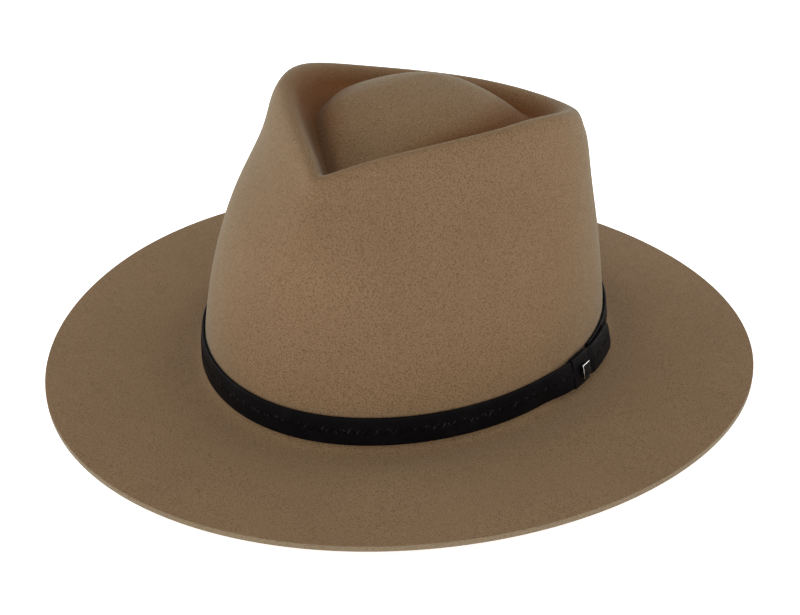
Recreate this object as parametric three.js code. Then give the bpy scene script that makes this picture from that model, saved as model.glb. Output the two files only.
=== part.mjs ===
// A wide-brim fedora at rest on a table: one felt shell, a leather band, its keeper and a small plate.
// Millimetres. The front of the hat faces -Y, the wearer's left is +X, and Z is up.
import * as THREE from 'three';

// The felt is one blocked cone of wool, so the crown and the brim share one wall.
// The crown is stretched thinner than the brim, which is thickest at its cut edge.
const FELT_WALL = { crown: 2.0, cutEdge: 2.8 };
const FELT_COLUMNS = 72;

// Level rings of the outer felt face, from the cut edge up to the rim of the crown and down into its dent.
// front, side and back are half-sizes from the ring's middle, and middle is that point's place in Y.
// point draws the front of the ring in to a tip. Heights are above the break between brim and crown.
// rows is the number of mesh rows from the ring to the next one.
const RING_COLUMNS = ['front', 'side', 'back', 'middle', 'point', 'zFront', 'zSide', 'zBack', 'rows'];
const RINGS = {
  brimEdge: [173.2, 159.6, 164, 0, 0, -1.8, -1.2, -3.6, 1],
  breakOut: [107.5, 91.1, 107.6, 0, 0.06, 0, 0, 0, 2],
  breakIn: [104.4, 88.0, 104.6, 0, 0.06, 2.3, 2.3, 2.3, 1],
  bandLine: [103.5, 87.2, 103.8, 0, 0.06, 17, 17, 17, 1],
  lowWall: [98.6, 83.9, 100.7, 0, 0.1, 45, 45, 42, 1],
  midWall: [94.1, 77.3, 98.2, -1, 0.3, 72, 74, 66, 2],
  pinch: [84.8, 71.2, 95.5, -4, 0.83, 93, 97, 82, 2],
  rim: [68.2, 63.4, 88.5, -10, 1.44, 111.6, 118.7, 98.7, 1],
  dentFloor: [50.7, 45.5, 74.5, -10, 1.48, 88, 104.2, 93.8, 1],
};
const TIP_ROUNDING = 0.26;
const RIM_DIP = { frontQuarter: 0.6, backQuarter: -3.7 };

// The brim lies almost flat, drooping more steeply towards its edge, with a slight twist.
const BRIM = { shares: [0.76, 0.28], droop: 1.5, twist: 2.2 };

// The rim is rolled over between the wall and the dent: each row stands out from the rim and below it.
// pointShare takes the tip from that of the pinch, at 0, to that of the rim, at 1.
const ROLL_COLUMNS = [
  'front', 'side', 'back', 'middle', 'downFront', 'downSide', 'downBack', 'pointShare', 'rows',
];
const ROLL = {
  shoulder: [6.4, 5.4, 6.2, 1.5, 8.5, 8.5, 8.5, 0.6, 1],
  bend: [3.7, 3.2, 3.5, 0.6, 2.5, 2.5, 2.5, 0.88, 1],
  crest: [0, 0, 0, 0, 0, 0, 0, 1, 1],
  lip: [-5, -5.5, -6, 0, 1.4, 1.2, 1.1, 1, 1],
  inner: [-9.5, -10.5, -11, 0, 9, 7.5, 5.5, 1, 2],
};

// The dome stands up again from the dent's floor: shares are of the size of its foot.
const DOME = {
  inset: 5.8, rise: 5.8, footPoint: 1.5, apexHeight: 119.3, apexPlace: 22, fullness: 1,
  shares: [0.74, 0.46, 0.16],
};

// The band is one strap: its under end starts behind the keeper, and its free end passes through it.
// The brim's curve pushes the lower edges of the keeper and the free end outwards by the lean.
const STRAP = { low: 3.2, high: 15.9, thickness: 1.5, chamfer: 0.35 };
const STRAP_COURSE = {
  start: 92.5, rampStart: 432, rampEnd: 442.5, keeperEnd: 450, overlap: 452.5, end: 466,
};
const SEAT_GAP = 0.3;
const LEAN = 1.9;
const TAIL_LIFT = 0.3;
const COARSE_STEP = 5;
const FINE_STEP = 2.5;

// The keeper is a leather loop round the strap on the wearer's left, and the plate lies on its face.
const KEEPER = {
  start: 82.7, end: 89.6, innerLeg: 0.6, outerLeg: 0.8, edge: 0.7, chamfer: 0.4, innerChamfer: 0.2,
};
const PLATE = { start: 85.5, end: 88.7, low: 6, high: 12.3, thickness: 1.0, chamfer: 0.25 };

const radians = THREE.MathUtils.degToRad;

// Rows of a table as objects, keyed by their own names and by the names of the columns.
function namedRows(columns, table) {
  const named = (values) => Object.fromEntries(columns.map((column, i) => [column, values[i]]));
  return Object.fromEntries(Object.entries(table).map(([name, values]) => [name, named(values)]));
}

// How far to the side a ring reaches at an angle from the front, where its widest place is 1.
function sidewaysReach(angle, point) {
  const round = TIP_ROUNDING ** 2;
  const power = point / 2;
  const shape = (cosine, sine) => sine * ((1 - cosine) / 2 + round) ** power;
  const full = 1 + 2 * round;
  const widestCosine = (full - Math.sqrt(full ** 2 + 4 * (1 + power) * power)) / (2 * (1 + power));
  const widest = shape(widestCosine, Math.sqrt(1 - widestCosine ** 2));
  return shape(Math.cos(angle), Math.sin(angle)) / widest;
}

// One point of a ring. The angle runs from the front over the wearer's left to the back.
function ringPoint(ring, angle) {
  const cosine = Math.cos(angle);
  const ahead = cosine > 0;
  const length = ahead ? ring.front : ring.back;
  const endHeight = ahead ? ring.zFront : ring.zBack;
  const quarter = (ahead ? ring.dipFront : ring.dipBack) ?? 0;
  const quarterWave = Math.sin(2 * angle);
  const toSide = ring.side * sidewaysReach(angle, ring.point);
  const height = ring.zSide + (endHeight - ring.zSide) * cosine ** 2
    + quarter * quarterWave ** 2 + (ring.twist ?? 0) * quarterWave;
  return new THREE.Vector3(toSide, ring.middle - length * cosine, height);
}

// A ring of the brim, at a share of the way from the break to the cut edge.
function brimRing({ brimEdge, breakOut }, share) {
  const between = (column) => THREE.MathUtils.lerp(breakOut[column], brimEdge[column], share);
  const droop = share ** BRIM.droop;
  return {
    ...brimEdge,
    front: between('front'), side: between('side'), back: between('back'),
    zFront: brimEdge.zFront * droop, zSide: brimEdge.zSide * droop, zBack: brimEdge.zBack * droop,
    twist: BRIM.twist * droop, wall: THREE.MathUtils.lerp(FELT_WALL.crown, FELT_WALL.cutEdge, share),
  };
}

// A ring of the roll, set off from the rim.
function rollRing({ pinch, rim }, row) {
  return {
    front: rim.front + row.front, side: rim.side + row.side, back: rim.back + row.back,
    middle: rim.middle + row.middle, point: THREE.MathUtils.lerp(pinch.point, rim.point, row.pointShare),
    zFront: rim.zFront - row.downFront, zSide: rim.zSide - row.downSide, zBack: rim.zBack - row.downBack,
    dipFront: RIM_DIP.frontQuarter, dipBack: RIM_DIP.backQuarter, rows: row.rows,
  };
}

// A ring of the dome, at a share of its foot's size.
function domeRing({ dentFloor }, share) {
  const climb = (1 - share ** 2) ** DOME.fullness;
  const size = (column) => (dentFloor[column] - DOME.inset) * share;
  const height = (column) => THREE.MathUtils.lerp(dentFloor[column] + DOME.rise, DOME.apexHeight, climb);
  return {
    front: size('front'), side: size('side'), back: size('back'),
    middle: THREE.MathUtils.lerp(DOME.apexPlace, dentFloor.middle, share), point: DOME.footPoint * share,
    zFront: height('zFront'), zSide: height('zSide'), zBack: height('zBack'), rows: 1,
  };
}

// All rings of the outer felt face, from the cut edge to the top of the dome.
const rings = namedRows(RING_COLUMNS, RINGS);
function feltRings() {
  const brim = [1, ...BRIM.shares].map((share) => brimRing(rings, share));
  const roll = Object.values(namedRows(ROLL_COLUMNS, ROLL)).map((row) => rollRing(rings, row));
  const dome = [1, ...DOME.shares].map((share) => domeRing(rings, share));
  const { breakOut, breakIn, bandLine, lowWall, midWall, pinch, dentFloor } = rings;
  const crown = [breakOut, breakIn, bandLine, lowWall, midWall, pinch, ...roll, dentFloor, ...dome];
  return [...brim, ...crown.map((ring) => ({ ...ring, wall: FELT_WALL.crown }))];
}

// A value for every mesh row: between gives it from a ring's number and a share of the way to the next.
function meshRows(faceRings, between) {
  const last = faceRings.length - 1;
  const values = faceRings.slice(0, last).flatMap(({ rows }, i) => (
    Array.from({ length: rows }, (_, row) => between(i, row / rows))
  ));
  return [...values, between(last - 1, 1)];
}

// The felt face along one angle, as a curve through all rings, read at the mesh rows.
function feltProfile(faceRings, angle) {
  const places = faceRings.map((ring) => ringPoint(ring, angle));
  const curve = new THREE.CatmullRomCurve3(places, false, 'centripetal');
  return meshRows(faceRings, (i, share) => curve.getPoint((i + share) / (faceRings.length - 1)));
}

// A solid from closed loops of points: each loop joins the next, and the ends are capped or joined.
function sweptSolid(loops, endless) {
  const count = loops[0].length;
  const positions = loops.flat().flatMap((point) => point.toArray());
  const index = [];
  const spans = endless ? loops.length : loops.length - 1;
  for (let i = 0; i < spans; i += 1) {
    const near = i * count;
    const far = ((i + 1) % loops.length) * count;
    for (let j = 0; j < count; j += 1) {
      const next = (j + 1) % count;
      index.push(near + j, far + next, near + next, near + j, far + j, far + next);
    }
  }
  if (!endless) {
    const lastLoop = (loops.length - 1) * count;
    for (let j = 1; j < count - 1; j += 1) {
      index.push(0, j, j + 1, lastLoop, lastLoop + j + 1, lastLoop + j);
    }
  }
  const geometry = new THREE.BufferGeometry();
  geometry.setAttribute('position', new THREE.Float32BufferAttribute(positions, 3));
  geometry.setIndex(index);
  return geometry;
}

// The felt wall: the outer face, the same face set inwards by the wall, and the raw cut edge between them.
function feltGeometry() {
  const faceRings = feltRings();
  const step = (2 * Math.PI) / FELT_COLUMNS;
  const profiles = Array.from({ length: FELT_COLUMNS }, (_, j) => feltProfile(faceRings, j * step));
  const walls = meshRows(faceRings, (i, share) => (
    THREE.MathUtils.lerp(faceRings[i].wall, faceRings[i + 1].wall, share)
  ));
  const rows = profiles[0].length;
  const crownTop = new THREE.Vector3();
  profiles.forEach((profile) => crownTop.add(profile[rows - 1]));
  crownTop.divideScalar(FELT_COLUMNS);
  const outerPoint = (row, column) => profiles[(column + FELT_COLUMNS) % FELT_COLUMNS][row];
  const innerPoint = (row, column) => {
    const along = (row < rows - 1 ? outerPoint(row + 1, column) : crownTop).clone();
    along.sub(outerPoint(Math.max(row - 1, 0), column));
    const around = outerPoint(row, column + 1).clone().sub(outerPoint(row, column - 1));
    const normal = around.cross(along).normalize();
    return outerPoint(row, column).clone().addScaledVector(normal, -walls[row]);
  };
  const positions = [];
  for (let row = 0; row < rows; row += 1) {
    for (let j = 0; j < FELT_COLUMNS; j += 1) positions.push(...outerPoint(row, j).toArray());
  }
  for (let row = rows - 1; row >= 0; row -= 1) {
    for (let j = 0; j < FELT_COLUMNS; j += 1) positions.push(...innerPoint(row, j).toArray());
  }
  const outerPole = 2 * rows * FELT_COLUMNS;
  const innerPole = outerPole + 1;
  positions.push(crownTop.x, crownTop.y, crownTop.z, crownTop.x, crownTop.y, crownTop.z - FELT_WALL.crown);
  const index = [];
  for (let row = 0; row < 2 * rows; row += 1) {
    const next = (row + 1) % (2 * rows);
    for (let j = 0; j < FELT_COLUMNS; j += 1) {
      const a = row * FELT_COLUMNS + j;
      const b = row * FELT_COLUMNS + ((j + 1) % FELT_COLUMNS);
      const c = next * FELT_COLUMNS + ((j + 1) % FELT_COLUMNS);
      const d = next * FELT_COLUMNS + j;
      if (row === rows - 1) index.push(a, b, outerPole, d, innerPole, c);
      else index.push(a, b, c, a, c, d);
    }
  }
  const geometry = new THREE.BufferGeometry();
  geometry.setAttribute('position', new THREE.Float32BufferAttribute(positions, 3));
  geometry.setIndex(index);
  return geometry;
}

// A point beside the foot of the crown: at a height on the wall, stood off from it by a distance.
function besideCrown(degrees, offset, height) {
  const { breakIn, bandLine } = rings;
  const angle = radians(degrees);
  const low = ringPoint(breakIn, angle);
  const high = ringPoint(bandLine, angle);
  const point = low.clone().lerp(high, (height - low.z) / (high.z - low.z));
  const length = Math.cos(angle) > 0 ? bandLine.front : bandLine.back;
  const outward = new THREE.Vector3(Math.sin(angle) / bandLine.side, -Math.cos(angle) / length, 0);
  return point.addScaledVector(outward.normalize(), offset);
}

// How far a leaning piece stands out at a height, from none at the strap's upper edge.
function leanAt(height) {
  return (LEAN * (STRAP.high - height)) / (STRAP.high - STRAP.low);
}

// How far the strap's inner face stands off the felt along its course, at a height.
function strapOffset(degrees, height) {
  const course = STRAP_COURSE;
  const throughKeeper = SEAT_GAP + KEEPER.innerLeg + SEAT_GAP;
  const overItself = SEAT_GAP + STRAP.thickness + SEAT_GAP;
  const smooth = THREE.MathUtils.smoothstep;
  return SEAT_GAP
    + (throughKeeper - SEAT_GAP + leanAt(height)) * smooth(degrees, course.rampStart, course.rampEnd)
    + (overItself - throughKeeper) * smooth(degrees, course.keeperEnd, course.overlap)
    + TAIL_LIFT * smooth(degrees, course.overlap, course.end + COARSE_STEP);
}

// The angles at which the strap is sectioned, closer together where it climbs and overlaps itself.
function strapStations() {
  const { start, rampStart, end } = STRAP_COURSE;
  const fineUntil = end - 360 + FINE_STEP;
  const stations = [];
  let degrees = start;
  while (degrees < end) {
    stations.push(degrees);
    degrees += degrees < fineUntil || degrees >= rampStart - COARSE_STEP ? FINE_STEP : COARSE_STEP;
  }
  return [...stations, end];
}

function strapGeometry() {
  const { low, high, thickness, chamfer } = STRAP;
  const section = [
    [0, low], [thickness - chamfer, low], [thickness, low + chamfer],
    [thickness, high - chamfer], [thickness - chamfer, high], [0, high],
  ];
  const loops = strapStations().map((degrees) => (
    section.map(([depth, height]) => besideCrown(degrees, strapOffset(degrees, height) + depth, height))
  ));
  return sweptSolid(loops, false);
}

// A point of a leaning piece beside the foot of the crown.
function leaningPoint(degrees, [offset, height]) {
  return besideCrown(degrees, offset + leanAt(height), height);
}

// The corners of a rectangle in the plane of offset and height, each cut by a chamfer.
function cutRectangle(inner, outer, low, high, chamfer) {
  return [
    [inner + chamfer, low], [outer - chamfer, low], [outer, low + chamfer], [outer, high - chamfer],
    [outer - chamfer, high], [inner + chamfer, high], [inner, high - chamfer], [inner, low + chamfer],
  ];
}

// The keeper is swept once round the strap, so its inner leg lies between the strap and the felt.
function keeperGeometry() {
  const holeInner = SEAT_GAP + KEEPER.innerLeg;
  const holeOuter = holeInner + 2 * SEAT_GAP + STRAP.thickness;
  const holeLow = STRAP.low - SEAT_GAP;
  const holeHigh = STRAP.high + SEAT_GAP;
  const hole = cutRectangle(holeInner, holeOuter, holeLow, holeHigh, KEEPER.innerChamfer);
  const outside = cutRectangle(SEAT_GAP, holeOuter + KEEPER.outerLeg, holeLow - KEEPER.edge,
    holeHigh + KEEPER.edge, KEEPER.chamfer);
  const middle = (KEEPER.start + KEEPER.end) / 2;
  const loops = hole.map((corner, i) => [
    leaningPoint(KEEPER.start, corner), leaningPoint(middle, corner), leaningPoint(KEEPER.end, corner),
    leaningPoint(KEEPER.end, outside[i]), leaningPoint(middle, outside[i]),
    leaningPoint(KEEPER.start, outside[i]),
  ]);
  return sweptSolid(loops, true);
}

// The plate is a thin sheet with chamfered edges, bent to the keeper's face.
function plateGeometry() {
  const face = SEAT_GAP + KEEPER.innerLeg + 2 * SEAT_GAP + STRAP.thickness + KEEPER.outerLeg;
  const inner = face + SEAT_GAP / 2;
  const outer = inner + PLATE.thickness;
  const { start, end, low, high, chamfer } = PLATE;
  const section = [
    [inner, low], [outer - chamfer, low], [outer, low + chamfer],
    [outer, high - chamfer], [outer - chamfer, high], [inner, high],
  ];
  const loops = [start, (start + end) / 2, end].map((degrees) => (
    section.map((corner) => leaningPoint(degrees, corner))
  ));
  return sweptSolid(loops, false);
}

function finish(colour, roughness, metalness) {
  return new THREE.MeshStandardMaterial({ color: colour, roughness, metalness });
}

function namedMesh(name, geometry, material) {
  const mesh = new THREE.Mesh(geometry, material);
  mesh.name = name;
  return mesh;
}

// The strap, its keeper and the plate are put on the felt as one dressed band.
function dressedBand() {
  const band = new THREE.Group();
  band.add(namedMesh('hat_band', strapGeometry(), finish(0x17161a, 0.55, 0)));
  band.add(namedMesh('band_keeper', keeperGeometry(), finish(0x141317, 0.5, 0)));
  band.add(namedMesh('keeper_plate', plateGeometry(), finish(0x5c5b5e, 0.3, 1)));
  return band;
}

const hat = new THREE.Group();
const felt = namedMesh('felt_body', feltGeometry(), finish(0x8b7355, 0.95, 0));
hat.add(felt, dressedBand());

// The hat stands on the table: its box is centred over the origin and the brim's lowest places touch Z = 0.
felt.geometry.computeBoundingBox();
const { min, max } = felt.geometry.boundingBox;
hat.position.set(-(min.x + max.x) / 2, -(min.y + max.y) / 2, -min.z);

export default hat;
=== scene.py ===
import math

import bmesh
import bpy
from mathutils import Matrix, Vector


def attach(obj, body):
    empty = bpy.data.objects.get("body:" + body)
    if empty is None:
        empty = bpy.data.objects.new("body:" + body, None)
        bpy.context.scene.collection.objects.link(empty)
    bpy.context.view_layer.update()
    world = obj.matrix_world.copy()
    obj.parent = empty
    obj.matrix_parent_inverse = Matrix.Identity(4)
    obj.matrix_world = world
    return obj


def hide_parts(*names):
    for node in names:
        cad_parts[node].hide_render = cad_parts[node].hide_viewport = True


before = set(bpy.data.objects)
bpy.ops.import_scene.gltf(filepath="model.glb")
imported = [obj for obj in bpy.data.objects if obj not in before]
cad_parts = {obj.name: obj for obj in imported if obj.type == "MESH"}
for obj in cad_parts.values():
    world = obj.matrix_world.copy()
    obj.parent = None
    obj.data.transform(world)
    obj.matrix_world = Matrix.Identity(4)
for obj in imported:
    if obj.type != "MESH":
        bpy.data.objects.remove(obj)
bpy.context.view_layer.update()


# Felt body
# Crown and brim are one cone of camel wool felt, steamed and pulled over a block, so they have no seam.
# The teardrop dent and the front pinch are pressed in by hand, and the brim is cut round and left raw.
MM = 0.001
BREAK_MIDDLE = Vector((0.0, 4.6, 7.687))
FELT_WALL, CUT_EDGE_WALL = 2.0, 2.8
CUT_EDGE_ROUNDING = 0.4
CUT_EDGE_TURN = math.radians(60)
FELT_COLUMNS = 128
FELT_ROW = 3.4
RING_COLUMNS = ("front", "side", "back", "middle", "point", "z_front", "z_side", "z_back")
RINGS = {
    "cut_edge": (173.2, 159.6, 164, 0, 0, -1.8, -1.2, -3.6),
    "break_out": (107.5, 91.1, 107.6, 0, 0.06, 0, 0, 0),
    "break_in": (104.4, 88.0, 104.6, 0, 0.06, 2.3, 2.3, 2.3),
    "band_line": (103.5, 87.2, 103.8, 0, 0.06, 17, 17, 17),
    "low_wall": (98.6, 83.9, 100.7, 0, 0.1, 45, 45, 42),
    "mid_wall": (94.1, 77.3, 98.2, -1, 0.3, 72, 74, 66),
    "pinch": (84.8, 71.2, 95.5, -4, 0.83, 93, 97, 82),
    "rim": (68.2, 63.4, 88.5, -10, 1.44, 111.6, 118.7, 98.7),
    "dent_floor": (50.7, 45.5, 74.5, -10, 1.48, 88, 104.2, 93.8),
}
TIP_ROUNDING = 0.26
RIM_DIP = {"front": 0.6, "back": -3.7}
BRIM_SHARES = (1, 0.76, 0.28)
BRIM_DROOP = 1.5
BRIM_TWIST = 2.2
ROLL_COLUMNS = ("front", "side", "back", "middle", "down_front", "down_side", "down_back", "point_share")
ROLL = {
    "shoulder": (6.4, 5.4, 6.2, 1.5, 8.5, 8.5, 8.5, 0.6),
    "bend": (3.7, 3.2, 3.5, 0.6, 2.5, 2.5, 2.5, 0.88),
    "crest": (0, 0, 0, 0, 0, 0, 0, 1),
    "lip": (-5, -5.5, -6, 0, 1.4, 1.2, 1.1, 1),
    "inner": (-9.5, -10.5, -11, 0, 9, 7.5, 5.5, 1),
}
DOME_INSET = 5.8
DOME_RISE = 5.8
DOME_FOOT_POINT = 1.5
DOME_TOP = Vector((0, 22, 119.3))
DOME_FULLNESS = 1.0
DOME_SHARES = (1, 0.74, 0.46, 0.16)
# Painted shade in the dent: how much of a dark tint is multiplied into the felt's colour, from the crest to
# the dome's top, and what share of it at the front. It stands in for shade in the dent's hollows.
PAINTED_DENT_SHADE_SHARES = (0, 0.5, 1, 1, 0.8, 0.12, 0, 0)
PAINTED_DENT_SHADE_FRONT_SHARE = 0.1


def mix(a, b, share):
    return a + (b - a) * share


def named_rows(columns, table):
    return {name: dict(zip(columns, values)) for name, values in table.items()}


def sideways_reach(turn, point):
    """How far to the side a ring reaches at a turn from the front, where its widest place is 1."""
    rounding = TIP_ROUNDING ** 2
    power = point / 2
    full = 1 + 2 * rounding
    widest_cosine = (full - math.sqrt(full ** 2 + 4 * (1 + power) * power)) / (2 * (1 + power))

    def reach(cosine, sine):
        return sine * ((1 - cosine) / 2 + rounding) ** power

    return reach(math.cos(turn), math.sin(turn)) / reach(widest_cosine, math.sqrt(1 - widest_cosine ** 2))


def ring_place(ring, turn):
    """One place on a ring of the block, in millimetres above the break. Turn 0 is the front."""
    cosine = math.cos(turn)
    end = "front" if cosine > 0 else "back"
    wave = math.sin(2 * turn)
    height = mix(ring["z_side"], ring["z_" + end], cosine ** 2)
    height += ring.get("dip_" + end, 0) * wave ** 2 + ring.get("twist", 0) * wave
    sideways = ring["side"] * sideways_reach(turn, ring["point"])
    return Vector((sideways, ring["middle"] - ring[end] * cosine, height))


def brim_ring(share):
    """A ring of the brim, at a share of the way out from the break to the cut edge."""
    edge, foot = rings["cut_edge"], rings["break_out"]
    droop = share ** BRIM_DROOP
    ring = dict(edge, twist=BRIM_TWIST * droop)
    ring.update({column: mix(foot[column], edge[column], share) for column in ("front", "side", "back")})
    ring.update({column: edge[column] * droop for column in ("z_front", "z_side", "z_back")})
    return ring


def roll_ring(row):
    """A ring of the rounded fold at the crown's rim."""
    rim = rings["rim"]
    ring = {column: rim[column] + row[column] for column in ("front", "side", "back", "middle")}
    ring.update({"z_" + end: rim["z_" + end] - row["down_" + end] for end in ("front", "side", "back")})
    ring["point"] = mix(rings["pinch"]["point"], rim["point"], row["point_share"])
    ring.update(dip_front=RIM_DIP["front"], dip_back=RIM_DIP["back"])
    return ring


def dome_ring(share):
    """A ring of the dome inside the dent, at a share of its foot's size."""
    floor = rings["dent_floor"]
    climb = (1 - share ** 2) ** DOME_FULLNESS
    ring = {column: (floor[column] - DOME_INSET) * share for column in ("front", "side", "back")}
    for end in ("front", "side", "back"):
        ring["z_" + end] = mix(floor["z_" + end] + DOME_RISE, DOME_TOP.z, climb)
    ring.update(middle=mix(DOME_TOP.y, floor["middle"], share), point=DOME_FOOT_POINT * share)
    return ring


def smooth_line(places, rows):
    """The places joined by a centripetal spline, with as many steps in each span as rows says."""
    line = []
    padded = [2 * places[0] - places[1], *places, 2 * places[-1] - places[-2]]
    for i, steps in enumerate(rows):
        before, near, far, after = padded[i:i + 4]
        gaps = [math.sqrt((b - a).length) for a, b in ((before, near), (near, far), (far, after))]
        leave = far - near + gaps[1] * ((near - before) / gaps[0] - (far - before) / (gaps[0] + gaps[1]))
        arrive = far - near + gaps[1] * ((after - far) / gaps[2] - (after - near) / (gaps[1] + gaps[2]))
        for step in range(steps):
            t = step / steps
            line.append(
                (2 * t ** 3 - 3 * t ** 2 + 1) * near + (t ** 3 - 2 * t ** 2 + t) * leave
                + (3 * t ** 2 - 2 * t ** 3) * far + (t ** 3 - t ** 2) * arrive
            )
    return [*line, places[-1]]


rings = named_rows(RING_COLUMNS, RINGS)
block = [brim_ring(share) for share in BRIM_SHARES]
block += [rings[name] for name in ("break_out", "break_in", "band_line", "low_wall", "mid_wall", "pinch")]
block += [roll_ring(row) for row in named_rows(ROLL_COLUMNS, ROLL).values()]
block += [rings["dent_floor"]]
block += [dome_ring(share) for share in DOME_SHARES]

side_places = [ring_place(ring, math.pi / 2) for ring in block]
spans = zip(side_places, side_places[1:])
span_rows = [max(2, round((far - near).length / FELT_ROW)) for near, far in spans]
profiles = [
    smooth_line([ring_place(ring, column * math.tau / FELT_COLUMNS) for ring in block], span_rows)
    for column in range(FELT_COLUMNS)
]
brim_spans = zip(BRIM_SHARES, (*BRIM_SHARES[1:], 0), span_rows)
brim_rows = [mix(far, near, step / steps) for far, near, steps in brim_spans for step in range(steps)]
# The painted shade in the dent, spread from its rings over the rows between them.
painted_shade_rings = [0] * (len(block) - len(PAINTED_DENT_SHADE_SHARES)) + list(PAINTED_DENT_SHADE_SHARES)
painted_shade_spans = zip(painted_shade_rings, painted_shade_rings[1:], span_rows)
painted_shade_rows = [mix(near, far, step / steps) for near, far, steps in painted_shade_spans for step in range(steps)]


def new_piece(name, mesh_data, materials):
    """A finished bmesh as a smooth-shaded object of the hat, with its place in its mesh."""
    mesh = bpy.data.meshes.new(name)
    mesh_data.to_mesh(mesh)
    mesh_data.free()
    mesh.polygons.foreach_set("use_smooth", [True] * len(mesh.polygons))
    piece = bpy.data.objects.new(name, mesh)
    bpy.context.scene.collection.objects.link(piece)
    for material in materials:
        mesh.materials.append(material)
    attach(piece, "root")
    return piece


def raise_felt():
    """The felt's outer face: a ring at the cut edge is drawn up row by row to the top of the dome."""
    felt = bmesh.new()
    turn = felt.verts.layers.int.new("turn")
    brim_part = felt.verts.layers.deform.verify()
    painted_shade_part = felt.verts.layers.float.new("dent")
    row_of_verts = bmesh.ops.create_circle(felt, segments=FELT_COLUMNS, radius=1)["verts"]
    for column, vert in enumerate(row_of_verts):
        vert[turn] = column
        vert[brim_part][0] = 1
        vert.co = (profiles[column][0] + BREAK_MIDDLE) * MM
    edges = list(felt.edges)
    for row in range(1, len(profiles[0])):
        drawn = bmesh.ops.extrude_edge_only(felt, edges=edges)["geom"]
        edges = [part for part in drawn if isinstance(part, bmesh.types.BMEdge)]
        row_of_verts = [part for part in drawn if isinstance(part, bmesh.types.BMVert)]
        for vert in row_of_verts:
            vert.co = (profiles[vert[turn]][row] + BREAK_MIDDLE) * MM
            vert[brim_part][0] = brim_rows[row] if row < len(brim_rows) else 0
            # Painted shade: each row's share of the dark tint for the dent's hollows, less towards the
            # front.
            frontness = ((1 + math.cos(vert[turn] * math.tau / FELT_COLUMNS)) / 2) ** 3
            painted_shade = painted_shade_rows[row] if row < len(painted_shade_rows) else 0
            vert[painted_shade_part] = painted_shade * mix(1, PAINTED_DENT_SHADE_FRONT_SHARE, frontness)
    top = sum((vert.co for vert in row_of_verts), Vector()) / FELT_COLUMNS
    drawn = bmesh.ops.extrude_edge_only(felt, edges=edges)["geom"]
    closing = [part for part in drawn if isinstance(part, bmesh.types.BMVert)]
    bmesh.ops.pointmerge(felt, verts=closing, merge_co=top)
    bmesh.ops.recalc_face_normals(felt, faces=felt.faces)
    return felt


def shader_material(name, **settings):
    """A material with its shader's constant settings put on the shader's own sockets."""
    material = bpy.data.materials.new(name)
    material.use_nodes = True
    shader = material.node_tree.nodes["Principled BSDF"]
    for socket, value in settings.items():
        shader.inputs[socket.replace("_", " ")].default_value = value
    return material, material.node_tree, shader


def pattern(tree, kind, vector, **settings):
    """A texture node on the piece's own coordinates."""
    node = tree.nodes.new(kind)
    for socket, value in settings.items():
        node.inputs[socket.replace("_", " ")].default_value = value
    tree.links.new(vector, node.inputs["Vector"])
    return node


def ramp(tree, value, low, high, out_low=0.0, out_high=1.0):
    """A value stretched from low and high to two new ends, and held between them."""
    node = tree.nodes.new("ShaderNodeMapRange")
    node.interpolation_type = "SMOOTHSTEP"
    for socket, number in zip(("From Min", "From Max", "To Min", "To Max"), (low, high, out_low, out_high)):
        node.inputs[socket].default_value = number
    tree.links.new(value, node.inputs["Value"])
    return node.outputs["Result"]


def worked_out(tree, operation, first, second):
    """Two values worked out by the given operation, either of which may be a plain number."""
    node = tree.nodes.new("ShaderNodeMath")
    node.operation = operation
    for socket, value in zip(node.inputs, (first, second)):
        if isinstance(value, (int, float)):
            socket.default_value = value
        else:
            tree.links.new(value, socket)
    return node.outputs[0]


def dye(tree, share, first, second):
    """Two colours mixed by a share. Either may be a plain colour or another mix."""
    node = tree.nodes.new("ShaderNodeMix")
    node.data_type = "RGBA"
    tree.links.new(share, node.inputs["Factor"])
    for socket, colour in ((node.inputs["A"], first), (node.inputs["B"], second)):
        if isinstance(colour, tuple):
            socket.default_value = (*colour, 1)
        else:
            tree.links.new(colour, socket)
    return node.outputs["Result"]


def raised(tree, height, distance, strength, under=None):
    """A height as small bumps, on top of coarser bumps if there are any under it."""
    node = tree.nodes.new("ShaderNodeBump")
    node.inputs["Distance"].default_value = distance
    node.inputs["Strength"].default_value = strength
    tree.links.new(height, node.inputs["Height"])
    if under:
        tree.links.new(under, node.inputs["Normal"])
    return node.outputs["Normal"]


CAMEL = (0.190, 0.118, 0.062)
CAMEL_SHADE = (0.118, 0.070, 0.034)
CAMEL_LIGHT = (0.29, 0.20, 0.125)
CUT_CAMEL = (0.20, 0.15, 0.095)
CUT_SHADE = (0.14, 0.10, 0.06)
CUT_LIGHT = (0.26, 0.20, 0.14)
# Painted shade: a dark tint multiplied into the felt in the dent's hollows, and a weaker sheen there.
PAINTED_SHADE_TINT = (0.60, 0.36, 0.19)
NAP_SHEEN, SHEEN_UNDER_PAINTED_SHADE = 0.24, 0.08
SHEEN_TINT = (0.66, 0.9, 0.82)
FIBRE_COVER = 0.7


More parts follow.
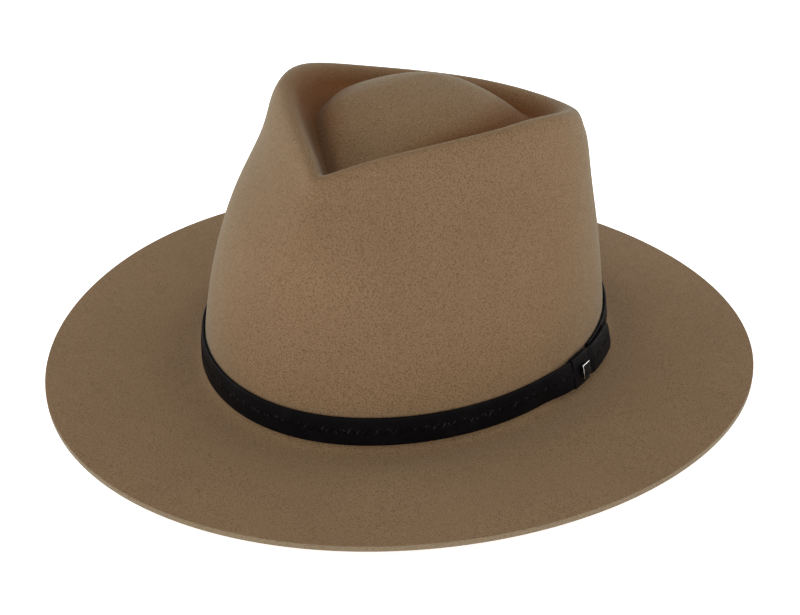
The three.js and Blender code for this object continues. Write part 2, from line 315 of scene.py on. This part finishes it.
def wool_felt(name, middle, shade, light):
    """Short-napped wool felt: a faintly cloudy dye, dark pores and pale curled fibres on the surface."""
    material, tree, shader = shader_material(
        name, Roughness=0.95, Specular_IOR_Level=0.08, Sheen_Roughness=0.25, Sheen_Tint=(*SHEEN_TINT, 1),
    )
    where = tree.nodes.new("ShaderNodeTexCoord").outputs["Object"]
    clouds = pattern(tree, "ShaderNodeTexNoise", where, Scale=22, Detail=3, Roughness=0.55)
    pores = pattern(tree, "ShaderNodeTexNoise", where, Scale=1500, Detail=2, Roughness=0.6)
    curls = pattern(tree, "ShaderNodeTexNoise", where, Scale=900, Detail=1, Distortion=3.0)
    off_curl = worked_out(tree, "ABSOLUTE", worked_out(tree, "SUBTRACT", curls.outputs["Fac"], 0.5), 0)
    fibres = ramp(tree, off_curl, 0, 0.04, out_low=1, out_high=0)
    colour = dye(tree, ramp(tree, clouds.outputs["Fac"], 0.3, 0.7, out_low=0.8), shade, middle)
    colour = dye(tree, ramp(tree, pores.outputs["Fac"], 0.48, 0.62), colour, shade)
    colour = dye(tree, worked_out(tree, "MULTIPLY", fibres, FIBRE_COVER), colour, light)
    # Painted shade: the colour is multiplied by a dark tint by each vertex's dent share, standing in for
    # shade in the dent's hollows, and the sheen is weaker there.
    painted_shade = tree.nodes.new("ShaderNodeMix")
    painted_shade.data_type = "RGBA"
    painted_shade.blend_type = "MULTIPLY"
    dent = tree.nodes.new("ShaderNodeAttribute")
    dent.attribute_name = "dent"
    tree.links.new(dent.outputs["Fac"], painted_shade.inputs["Factor"])
    sheen = ramp(tree, dent.outputs["Fac"], 0, 1, NAP_SHEEN, SHEEN_UNDER_PAINTED_SHADE)
    tree.links.new(sheen, shader.inputs["Sheen Weight"])
    tree.links.new(colour, painted_shade.inputs["A"])
    painted_shade.inputs["B"].default_value = (*PAINTED_SHADE_TINT, 1)
    tree.links.new(painted_shade.outputs["Result"], shader.inputs["Base Color"])
    nap = raised(tree, pores.outputs["Fac"], 0.3 * MM, 0.5)
    nap = raised(tree, fibres, 0.1 * MM, 0.4, nap)
    tree.links.new(nap, shader.inputs["Normal"])
    return material


felt_finish = wool_felt("camel_wool_felt", CAMEL, CAMEL_SHADE, CAMEL_LIGHT)
cut_finish = wool_felt("cut_felt_edge", CUT_CAMEL, CUT_SHADE, CUT_LIGHT)
felt_body = new_piece("blocked_felt", raise_felt(), [felt_finish, cut_finish])
felt_body.vertex_groups.new(name="brim")
wall = felt_body.modifiers.new("wall", "SOLIDIFY")
wall.thickness = CUT_EDGE_WALL * MM
wall.vertex_group = "brim"
wall.thickness_vertex_group = FELT_WALL / CUT_EDGE_WALL
wall.offset = -1
wall.material_offset_rim = 1
edge = felt_body.modifiers.new("cut_edge", "BEVEL")
edge.width = CUT_EDGE_ROUNDING * MM
edge.segments = 2
edge.limit_method = "ANGLE"
edge.angle_limit = CUT_EDGE_TURN
nap_smoothing = felt_body.modifiers.new("nap_smoothing", "SUBSURF")
nap_smoothing.levels = 1
nap_smoothing.render_levels = 1
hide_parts("felt_body")


# Hat band
# One strap of soft black leather, cut with square edges and burnished. It goes once round the foot of the
# crown, passes through the keeper on the wearer's left, and its free end lies over its own start.
STRAP_LOW, STRAP_HIGH = 3.2, 15.9
STRAP_THICKNESS = 1.5
STRAP_FACE_CROWN = 0.2
STRAP_START, STRAP_END = 92.5, 466.0
CLIMB_TO_KEEPER = (432.0, 442.5)
KEEPER_END_ON_COURSE = 450.0
OVERLAP = 452.5
SEAT_GAP = 0.3
LEAN = 1.9
TAIL_LIFT = 0.3
TAIL_RUN_OUT = 5.0
KEEPER_INNER_LEG = 0.6


def smooth_share(value, low, high):
    share = min(1.0, max(0.0, (value - low) / (high - low)))
    return share * share * (3 - 2 * share)


def beside_crown(degrees, offset, height):
    """A place beside the foot of the crown, at a height on the wall and stood off from it, in metres."""
    turn = math.radians(degrees)
    low, high = (ring_place(rings[name], turn) for name in ("break_in", "band_line"))
    place = low + (high - low) * ((height - low.z) / (high.z - low.z))
    end = "front" if math.cos(turn) > 0 else "back"
    line = rings["band_line"]
    outward = Vector((math.sin(turn) / line["side"], -math.cos(turn) / line[end], 0)).normalized()
    return (place + outward * offset + BREAK_MIDDLE) * MM


def lean_at(height):
    """How far the brim's curve pushes the keeper and the free end outwards at a height."""
    return LEAN * (STRAP_HIGH - height) / (STRAP_HIGH - STRAP_LOW)


def strap_face(degrees, height):
    """How far the strap's outer face stands off the felt at a place on the strap."""
    through_keeper = SEAT_GAP + KEEPER_INNER_LEG + SEAT_GAP
    over_itself = SEAT_GAP + STRAP_THICKNESS + SEAT_GAP
    inner = mix(SEAT_GAP, through_keeper + lean_at(height), smooth_share(degrees, *CLIMB_TO_KEEPER))
    inner += (over_itself - through_keeper) * smooth_share(degrees, KEEPER_END_ON_COURSE, OVERLAP)
    inner += TAIL_LIFT * smooth_share(degrees, OVERLAP, STRAP_END + TAIL_RUN_OUT)
    across = 2 * (height - STRAP_LOW) / (STRAP_HIGH - STRAP_LOW) - 1
    return inner + STRAP_THICKNESS - STRAP_FACE_CROWN * across ** 2


STRAP_STEPS = 300
STRAP_ROWS = 8
TAIL_CORNER = 2.2
TAIL_CORNER_SLOPE = 1.6
SAME_PLACE = 1e-6


def cut_strap():
    """The strap is cut flat, its free end's corners are taken off, and it is bent round the crown."""
    strap = bmesh.new()
    bmesh.ops.create_grid(strap, x_segments=STRAP_STEPS, y_segments=STRAP_ROWS, size=0.5)
    length, height = STRAP_END - STRAP_START, STRAP_HIGH - STRAP_LOW
    bmesh.ops.scale(strap, verts=strap.verts, vec=(length, height, 1))
    middle = Vector(((STRAP_START + STRAP_END) / 2, (STRAP_LOW + STRAP_HIGH) / 2, 0))
    bmesh.ops.translate(strap, verts=strap.verts, vec=middle)
    for corner_height, slope in ((STRAP_HIGH, 1), (STRAP_LOW, -1)):
        corner = Vector((STRAP_END - TAIL_CORNER / 2, corner_height, 0))
        bmesh.ops.bisect_plane(
            strap, geom=[*strap.verts, *strap.edges, *strap.faces], dist=SAME_PLACE, plane_co=corner,
            plane_no=(TAIL_CORNER_SLOPE, slope, 0), clear_outer=True,
        )
    for vert in strap.verts:
        degrees, height, _ = vert.co
        vert.co = beside_crown(degrees, strap_face(degrees, height), height)
    bmesh.ops.recalc_face_normals(strap, faces=strap.faces)
    return strap


BLACK = (0.0024, 0.0020, 0.0023)
SCUFFED_BLACK = (0.0052, 0.0045, 0.0052)
BAND_ROUGHNESS = 0.5
BAND_EDGE = 0.35
SHARP_TURN = math.radians(50)


def black_leather(name, roughness):
    """Soft dyed leather with a fine pebbled grain, creases and faint scuffs."""
    material, tree, shader = shader_material(name, Specular_IOR_Level=0.045)
    where = tree.nodes.new("ShaderNodeTexCoord").outputs["Object"]
    pebbles = pattern(tree, "ShaderNodeTexVoronoi", where, Scale=1100)
    creases = pattern(tree, "ShaderNodeTexNoise", where, Scale=260, Detail=4, Roughness=0.65)
    scuffs = pattern(tree, "ShaderNodeTexNoise", where, Scale=70, Detail=5, Roughness=0.7)
    colour = dye(tree, ramp(tree, scuffs.outputs["Fac"], 0.45, 0.75), BLACK, SCUFFED_BLACK)
    tree.links.new(colour, shader.inputs["Base Color"])
    satin = ramp(tree, creases.outputs["Fac"], 0.3, 0.7, roughness - 0.08, roughness + 0.1)
    tree.links.new(satin, shader.inputs["Roughness"])
    grain = raised(tree, pebbles.outputs["Distance"], 0.1 * MM, 0.5)
    grain = raised(tree, creases.outputs["Fac"], 0.3 * MM, 0.35, grain)
    tree.links.new(grain, shader.inputs["Normal"])
    return material


def leather_body(piece, thickness, edge_width, offset=-1):
    """Gives a leather face its thickness and rounds its edges."""
    body = piece.modifiers.new("thickness", "SOLIDIFY")
    body.thickness = thickness * MM
    body.offset = offset
    rounding = piece.modifiers.new("burnished_edges", "BEVEL")
    rounding.width = edge_width * MM
    rounding.segments = 3
    rounding.limit_method = "ANGLE"
    rounding.angle_limit = SHARP_TURN


band_finish = black_leather("black_band_leather", BAND_ROUGHNESS)
hat_band = new_piece("leather_strap", cut_strap(), [band_finish])
leather_body(hat_band, STRAP_THICKNESS - STRAP_FACE_CROWN, BAND_EDGE)
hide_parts("hat_band")


# Zigzag stitching
# One row of black waxed thread, sewn in a zigzag along the lower middle of the strap for ornament.
# Each leg of a zigzag is one stitch, pulled down a little into the leather at both ends.
STITCH_FIRST, STITCH_LAST = 94.5, 465.0
STITCH_TURN = 1.25
STITCH_LOW, STITCH_HIGH = 8.0, 11.8
THREAD_WIDTH = 0.6
THREAD_SUNK = 0.1
THREAD_BLACK = (0.0003, 0.0003, 0.0003)
THREAD_WEAR_AND_GLINT = (0.028, 0.025, 0.028)


def sew_zigzag():
    """Each stitch is a bead of thread, drawn out between two needle holes."""
    sewing = bmesh.new()
    count = int((STITCH_LAST - STITCH_FIRST) / STITCH_TURN)
    for number in range(count):
        low_first = number % 2 == 0
        ends = []
        for step, is_low in ((0, low_first), (1, not low_first)):
            degrees = STITCH_FIRST + (number + step) * STITCH_TURN
            height = STITCH_LOW if is_low else STITCH_HIGH
            ends.append(beside_crown(degrees, strap_face(degrees, height) - THREAD_SUNK, height))
        leg = ends[1] - ends[0]
        place = Matrix.Translation((ends[0] + ends[1]) / 2)
        lean = leg.to_track_quat("Z", "Y").to_matrix().to_4x4()
        shape = Matrix.Diagonal((THREAD_WIDTH * MM, THREAD_WIDTH * MM, leg.length, 1))
        bmesh.ops.create_icosphere(sewing, subdivisions=1, radius=0.5, matrix=place @ lean @ shape)
    return sewing


def waxed_thread(name, colour, worn):
    """Black thread with a dull wax, with pale specks here and there: rubbed wax and painted highlights."""
    material, tree, shader = shader_material(name, Specular_IOR_Level=0.03)
    where = tree.nodes.new("ShaderNodeTexCoord").outputs["Object"]
    twist = pattern(tree, "ShaderNodeTexNoise", where, Scale=2600, Detail=1, Roughness=0.5)
    # Pale specks on the thread: partly rubbed wax, partly painted highlights on the stitches.
    wear_and_glint = pattern(tree, "ShaderNodeTexNoise", where, Scale=420, Detail=2, Roughness=0.6)
    shade = dye(tree, ramp(tree, wear_and_glint.outputs["Fac"], 0.5, 0.62), colour, worn)
    tree.links.new(shade, shader.inputs["Base Color"])
    tree.links.new(ramp(tree, twist.outputs["Fac"], 0.3, 0.7, 0.4, 0.6), shader.inputs["Roughness"])
    tree.links.new(raised(tree, twist.outputs["Fac"], 0.06 * MM, 0.6), shader.inputs["Normal"])
    return material


thread_finish = waxed_thread("black_waxed_thread", THREAD_BLACK, THREAD_WEAR_AND_GLINT)
stitching = new_piece("zigzag_stitching", sew_zigzag(), [thread_finish])


# Keeper
# A narrow loop of the same black leather on the wearer's left, folded round the strap and glued behind it.
# It holds the free end down, and its edges are cut square and burnished.
KEEPER_START, KEEPER_END = 82.7, 89.6
KEEPER_THICKNESS = 0.75
KEEPER_ROWS = 10
KEEPER_CORNER = 0.3
KEEPER_EDGE = 0.3
KEEPER_ROUGHNESS = 0.46
KEEPER_FACE_CUTS = 7
SHORTEST_FACE = 4


def fold_keeper():
    """A flat outline of the hole, with rounded corners, is drawn out along the strap and bent round."""
    keeper = bmesh.new()
    bmesh.ops.create_grid(keeper, x_segments=1, y_segments=1, size=0.5)
    hole_low, hole_high = STRAP_LOW - SEAT_GAP, STRAP_HIGH + SEAT_GAP
    hole_in = SEAT_GAP + KEEPER_INNER_LEG
    hole_out = hole_in + 2 * SEAT_GAP + STRAP_THICKNESS
    bmesh.ops.scale(keeper, verts=keeper.verts, vec=(hole_out - hole_in, hole_high - hole_low, 1))
    middle = Vector(((hole_in + hole_out) / 2, (hole_low + hole_high) / 2, 0))
    bmesh.ops.translate(keeper, verts=keeper.verts, vec=middle)
    bmesh.ops.bevel(
        keeper, geom=list(keeper.verts), affect="VERTICES", offset=KEEPER_CORNER, segments=4, profile=0.5,
        material=-1,
    )
    bmesh.ops.delete(keeper, geom=list(keeper.faces), context="FACES_ONLY")
    long_edges = [edge for edge in keeper.edges if edge.calc_length() > SHORTEST_FACE]
    bmesh.ops.subdivide_edges(keeper, edges=long_edges, cuts=KEEPER_FACE_CUTS)
    width = (KEEPER_END - KEEPER_START) / KEEPER_ROWS
    edges = list(keeper.edges)
    for _ in range(KEEPER_ROWS):
        drawn = bmesh.ops.extrude_edge_only(keeper, edges=edges)["geom"]
        edges = [part for part in drawn if isinstance(part, bmesh.types.BMEdge)]
        moved = [part for part in drawn if isinstance(part, bmesh.types.BMVert)]
        bmesh.ops.translate(keeper, verts=moved, vec=(0, 0, width))
    for vert in keeper.verts:
        offset, height, along = vert.co
        vert.co = beside_crown(KEEPER_START + along, offset + lean_at(height), height)
    bmesh.ops.recalc_face_normals(keeper, faces=keeper.faces)
    return keeper


keeper_finish = black_leather("black_keeper_leather", KEEPER_ROUGHNESS)
keeper = new_piece("leather_keeper", fold_keeper(), [keeper_finish])
leather_body(keeper, KEEPER_THICKNESS, KEEPER_EDGE, offset=1)
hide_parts("band_keeper")


# Plate on the keeper
# A small plain metal plate, stamped from sheet, blackened and then rubbed bright along its edges.
# Two prongs behind it, out of sight, hold it to the keeper.
PLATE_START, PLATE_END = 85.5, 88.7
PLATE_LOW, PLATE_HIGH = 6.0, 12.3
PLATE_THICKNESS = 1.0
PLATE_FACE_AT = 4.95
PLATE_EDGE = 0.2
PLATE_COLUMNS = 8


def stamp_plate():
    """A block is cut to the plate's size, bent to the crown with its keeper, and its edges are rounded."""
    plate = bmesh.new()
    bmesh.ops.create_cube(plate, size=1)
    size = Vector((PLATE_END - PLATE_START, PLATE_THICKNESS, PLATE_HIGH - PLATE_LOW))
    bmesh.ops.scale(plate, verts=plate.verts, vec=size)
    along, up = (PLATE_START + PLATE_END) / 2, (PLATE_LOW + PLATE_HIGH) / 2
    bmesh.ops.translate(plate, verts=plate.verts, vec=(along, PLATE_FACE_AT - PLATE_THICKNESS / 2, up))
    reaches = {edge: abs(edge.verts[0].co.x - edge.verts[1].co.x) for edge in plate.edges}
    lengthwise = [edge for edge, reach in reaches.items() if reach > PLATE_THICKNESS]
    bmesh.ops.subdivide_edges(plate, edges=lengthwise, cuts=PLATE_COLUMNS)
    for vert in plate.verts:
        degrees, offset, height = vert.co
        vert.co = beside_crown(degrees, offset + lean_at(height), height) / MM
    bmesh.ops.recalc_face_normals(plate, faces=plate.faces)
    sharp = [edge for edge in plate.edges if edge.calc_face_angle() > SHARP_TURN]
    rounded = bmesh.ops.bevel(
        plate, geom=sharp, affect="EDGES", offset=PLATE_EDGE, segments=3, profile=0.5, material=-1,
    )
    for face in rounded["faces"]:
        face.material_index = 1
    bmesh.ops.scale(plate, verts=plate.verts, vec=(MM, MM, MM))
    return plate


BLACKENED = (0.003, 0.003, 0.0034)
BLACKENED_WORN = (0.010, 0.009, 0.010)
RUBBED = (0.5, 0.49, 0.48)
RUBBED_BRIGHT = (0.75, 0.74, 0.72)


def sheet_metal(name, colour, worn, low_roughness, high_roughness):
    """Stamped sheet metal with uneven tarnish and fine scratches."""
    material, tree, shader = shader_material(name, Metallic=1.0)
    where = tree.nodes.new("ShaderNodeTexCoord").outputs["Object"]
    tarnish = pattern(tree, "ShaderNodeTexNoise", where, Scale=420, Detail=4, Roughness=0.65)
    scratches = pattern(tree, "ShaderNodeTexNoise", where, Scale=900, Detail=2, Distortion=2.0)
    shade = dye(tree, ramp(tree, tarnish.outputs["Fac"], 0.35, 0.7), colour, worn)
    tree.links.new(shade, shader.inputs["Base Color"])
    sheen = ramp(tree, tarnish.outputs["Fac"], 0.3, 0.7, low_roughness, high_roughness)
    tree.links.new(sheen, shader.inputs["Roughness"])
    tree.links.new(raised(tree, scratches.outputs["Fac"], 0.03 * MM, 0.4), shader.inputs["Normal"])
    return material


plate_face = sheet_metal("blackened_metal", BLACKENED, BLACKENED_WORN, 0.35, 0.55)
plate_edge = sheet_metal("rubbed_metal_edge", RUBBED, RUBBED_BRIGHT, 0.2, 0.4)
plate = new_piece("keeper_plate_metal", stamp_plate(), [plate_face, plate_edge])
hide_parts("keeper_plate")


# Camera
# The hat is photographed from the wearer's front left and from a little above, with a long lens.
# Angles and distance were fitted together with the hat's size. The aim is where the crown's foot falls.
PHOTO_WIDTH, PHOTO_HEIGHT = 800, 615
CAMERA_AZIMUTH, CAMERA_ELEVATION, CAMERA_ROLL = (math.radians(angle) for angle in (27.04, 28.87, 0.25))
CAMERA_DISTANCE = 0.95
FOCAL_PIXELS = 2057.3
AIM_PIXEL = (404.2, 335.1)
SENSOR_WIDTH = 36
FARTHEST_SEEN = 50

back = Vector((
    math.sin(CAMERA_AZIMUTH) * math.cos(CAMERA_ELEVATION),
    -math.cos(CAMERA_AZIMUTH) * math.cos(CAMERA_ELEVATION),
    math.sin(CAMERA_ELEVATION),
))
right = Vector((math.cos(CAMERA_AZIMUTH), math.sin(CAMERA_AZIMUTH), 0))
up = back.cross(right)
camera_data = bpy.data.cameras.new("camera")
camera_data.sensor_width = SENSOR_WIDTH
camera_data.lens = FOCAL_PIXELS / PHOTO_WIDTH * camera_data.sensor_width
camera_data.shift_x = (PHOTO_WIDTH / 2 - AIM_PIXEL[0]) / PHOTO_WIDTH
camera_data.shift_y = (AIM_PIXEL[1] - PHOTO_HEIGHT / 2) / PHOTO_WIDTH
camera_data.clip_end = FARTHEST_SEEN
camera = bpy.data.objects.new("camera", camera_data)
camera.matrix_world = (
    Matrix.Translation(BREAK_MIDDLE * MM + back * CAMERA_DISTANCE)
    @ Matrix((right, up, back)).transposed().to_4x4()
    @ Matrix.Rotation(CAMERA_ROLL, 4, "Z")
)
bpy.context.scene.collection.objects.link(camera)
bpy.context.scene.camera = camera


# Floor and light
# A plain pale floor in a pale room, as for a catalogue picture. The light comes evenly from all round,
# with a soft box on each side, a little behind the hat, and a broad low one behind the camera.
FLOOR_RADIUS = 12
FLOOR_SHADE = (0.90, 0.90, 0.90)
FLOOR_PALE = (0.93, 0.93, 0.93)
FLOOR_GLOW = 0.8
ROOM_LIGHT = 0.94
HAT_MIDDLE = Vector((0, 0, 0.06))
SOFT_BOX_COLUMNS = ("right", "ahead", "up", "width", "height", "watts")
SOFT_BOXES = {
    "left_box": (-1.6, -0.4, 0.5, 1.4, 0.6, 9),
    "right_box": (1.4, -1.0, 0.6, 1.4, 0.6, 9),
    "front_box": (0, 2.1, 0.3, 2.2, 0.5, 8),
}

floor_data = bmesh.new()
bmesh.ops.create_circle(floor_data, cap_ends=True, segments=96, radius=FLOOR_RADIUS)
floor_mesh = bpy.data.meshes.new("floor")
floor_data.to_mesh(floor_mesh)
floor_data.free()
floor = bpy.data.objects.new("floor", floor_mesh)
bpy.context.scene.collection.objects.link(floor)
floor_finish, floor_tree, floor_shader = shader_material(
    "pale_floor", Roughness=0.9, Specular_IOR_Level=0.1, Emission_Color=(1, 1, 1, 1),
    Emission_Strength=FLOOR_GLOW,
)
floor_where = floor_tree.nodes.new("ShaderNodeTexCoord").outputs["Object"]
floor_clouds = pattern(floor_tree, "ShaderNodeTexNoise", floor_where, Scale=3, Detail=2)
floor_share = ramp(floor_tree, floor_clouds.outputs["Fac"], 0.3, 0.7)
floor_colour = dye(floor_tree, floor_share, FLOOR_SHADE, FLOOR_PALE)
floor_tree.links.new(floor_colour, floor_shader.inputs["Base Color"])
floor_mesh.materials.append(floor_finish)

world = bpy.data.worlds.new("pale_room")
world.use_nodes = True
world.node_tree.nodes["Background"].inputs["Color"].default_value = (1, 1, 1, 1)
world.node_tree.nodes["Background"].inputs["Strength"].default_value = ROOM_LIGHT
bpy.context.scene.world = world
bpy.context.scene.view_settings.view_transform = "Standard"


def soft_box(name, place, width, height, watts):
    """A soft box aimed at the middle of the hat."""
    light = bpy.data.lights.new(name, "AREA")
    light.shape = "RECTANGLE"
    light.size, light.size_y = width, height
    light.energy = watts
    lamp = bpy.data.objects.new(name, light)
    aim = (place - HAT_MIDDLE).to_track_quat("Z", "Y").to_matrix().to_4x4()
    lamp.matrix_world = Matrix.Translation(place) @ aim
    bpy.context.scene.collection.objects.link(lamp)


ahead = Vector((back.x, back.y, 0)).normalized()
for name, box in named_rows(SOFT_BOX_COLUMNS, SOFT_BOXES).items():
    place = right * box["right"] + ahead * box["ahead"] + Vector((0, 0, box["up"]))
    soft_box(name, place, box["width"], box["height"], box["watts"])
